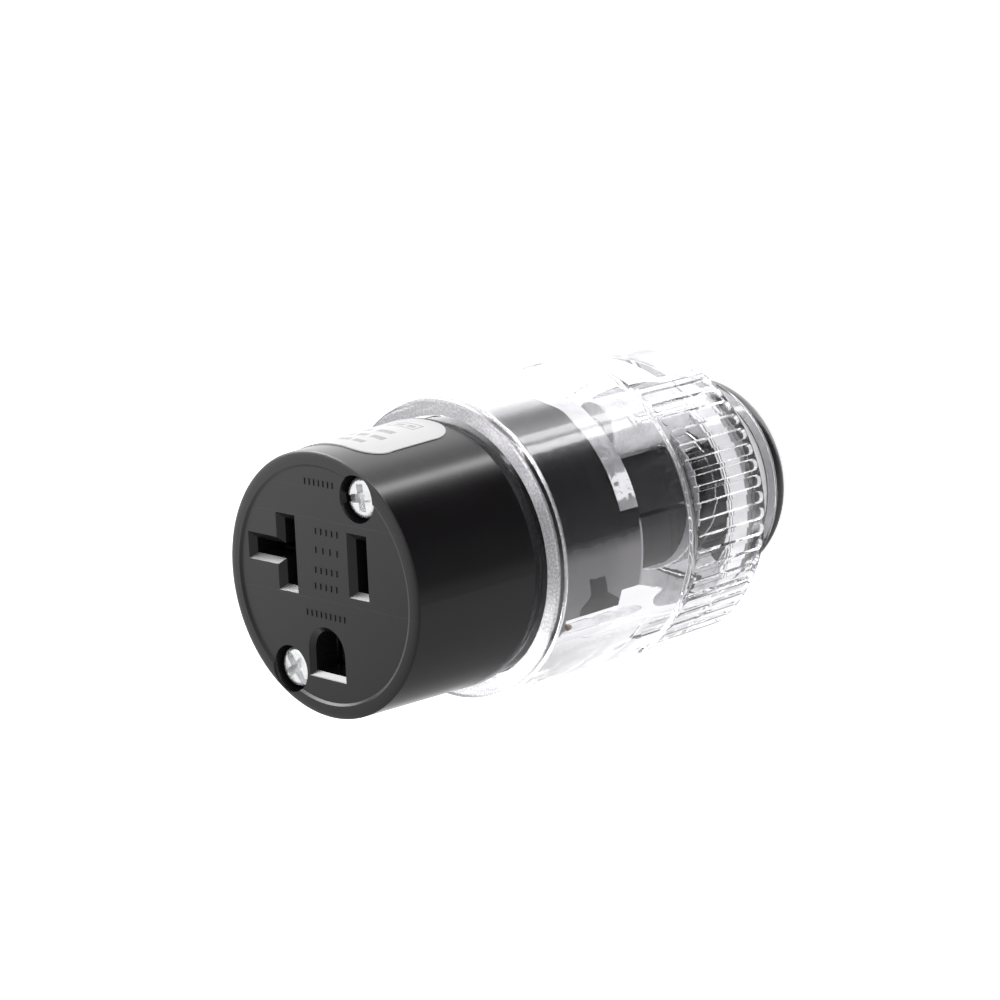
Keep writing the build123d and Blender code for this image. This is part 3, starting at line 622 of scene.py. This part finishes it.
# ------------------------------------------------------------------ studio
fm, t, b, co = material("floor_white")
g = t.noise(co, 3.0, 2.0, 0.5)
t.put(b.inputs["Base Color"], t.mix(g, (0.90, 0.90, 0.90, 1), (0.93, 0.93, 0.93, 1)))
b.inputs["Roughness"].default_value = 0.9
b.inputs["Specular IOR Level"].default_value = 0.0
b.inputs["Emission Color"].default_value = (1, 1, 1, 1)
b.inputs["Emission Strength"].default_value = 0.70
bm = bmesh.new()
bmesh.ops.create_grid(bm, x_segments=1, y_segments=1, size=20.0)
me = bpy.data.meshes.new("floor")
bm.to_mesh(me)
bm.free()
floor = bpy.data.objects.new("floor", me)
scene.collection.objects.link(floor)
floor.location = (0, 0, -0.00002)
floor.data.materials.append(fm)
floor.visible_glossy = False
floor.visible_transmission = False
floor.visible_diffuse = False

# the room around the object: what its gloss reflects, by direction
world = bpy.data.worlds.new("studio")
scene.world = world
world.use_nodes = True
w = Tree(world.node_tree)
wout = w.new("ShaderNodeOutputWorld")
bg = w.new("ShaderNodeBackground")
w.nt.links.new(bg.outputs[0], wout.inputs[0])
direction = w.new("ShaderNodeTexCoord").outputs["Generated"]
dx, dy, dz = w.xyz(direction)
grad = w.new("ShaderNodeTexGradient", gradient_type="RADIAL")
w.put(grad.inputs[0], direction)


def ramp(tree, fac, stops, peak):
    n = tree.new("ShaderNodeValToRGB")
    cr = n.color_ramp
    cr.interpolation = "LINEAR"
    pts = [((a + 180.0) / 360.0, v) for a, v in stops]
    cr.elements[0].position = pts[0][0]
    cr.elements[1].position = pts[-1][0]
    for p, v in pts[1:-1]:
        cr.elements.new(p)
    for e, (p, v) in zip(sorted(cr.elements, key=lambda q: q.position), pts):
        e.position = p
        e.color = (v / peak, v / peak, v / peak, 1)
    tree.put(n.inputs[0], fac)
    return tree.math("MULTIPLY", n.outputs[0], peak)


PEAK = 8.0
low = ramp(w, grad.outputs[1], [
    (-180, 1.5), (-150, 1.1), (-139, 0.85), (-125, 0.50), (-100, 0.37), (-60, 0.48), (-30, 0.57), (-19, 0.50),
    (-11, 0.34), (-4, 0.15), (20, 0.09), (32, 0.04), (55, 0.04), (66, 0.08), (74, 0.5), (80, 2.0), (82.5, 7.0), (87, 7.0),
    (89, 1.6), (94, 1.2), (104, 1.4), (114, 2.0), (150, 2.0), (180, 1.5)], PEAK)
high = ramp(w, grad.outputs[1], [
    (-180, 1.15), (-120, 0.9), (-60, 0.7), (-25, 0.5), (20, 0.42), (60, 0.8), (120, 1.4), (180, 1.15)], PEAK)
lift = w.rng(dz, -0.35, 0.05)
room = w.mixf(lift, low, high)
# overhead light, up and to the left
key = Vector((-0.68, 0.70, 0.23)).normalized()
dot = w.new("ShaderNodeVectorMath", operation="DOT_PRODUCT")
w.put(dot.inputs[0], direction)
dot.inputs[1].default_value = key
room = w.math("ADD", room, w.rng(dot.outputs["Value"], math.cos(math.radians(28)), math.cos(math.radians(14)), 0.0, 11.0))
# what the clear walls' own inner surfaces send back is paler
low_c = ramp(w, grad.outputs[1], [
    (-180, 1.5), (-120, 1.0), (-75, 0.8), (-55, 0.62), (-25, 0.45), (-15, 0.35), (-5, 0.2), (10, 0.12), (55, 0.10), (66, 0.20), (76, 0.7),
    (79, 7.5), (84.5, 7.5), (87, 1.4), (90, 1.0), (96, 1.4), (110, 2.4), (150, 2.6), (180, 1.9)], PEAK)
belt = w.math("MULTIPLY", w.rng(dz, -0.92, -0.84), w.rng(dz, -0.45, -0.25, 1.0, 0.0))
pale = w.mixf(belt, 1.06, low_c)
# the plain pale studio itself, as it lights the object and shows through clear walls
lp = w.new("ShaderNodeLightPath")
mirrored = w.math("GREATER_THAN", lp.outputs["Glossy Depth"], 0.5)
walls = lp.outputs["Transmission Depth"]
inside = w.math("MULTIPLY", w.math("GREATER_THAN", walls, 0.5), w.math("LESS_THAN", walls, 3.5))
room = w.mixf(inside, room, pale)
# dull parts inside the shell are lit more strongly
within = w.math("MULTIPLY", w.math("GREATER_THAN", lp.outputs["Diffuse Depth"], 0.5), w.math("GREATER_THAN", walls, 2.5))
plain = w.mixf(within, 1.12, 1.9)
strength = w.mixf(mirrored, plain, room)
w.put(bg.inputs["Strength"], strength)
bg.inputs["Color"].default_value = (1, 1, 1, 1)
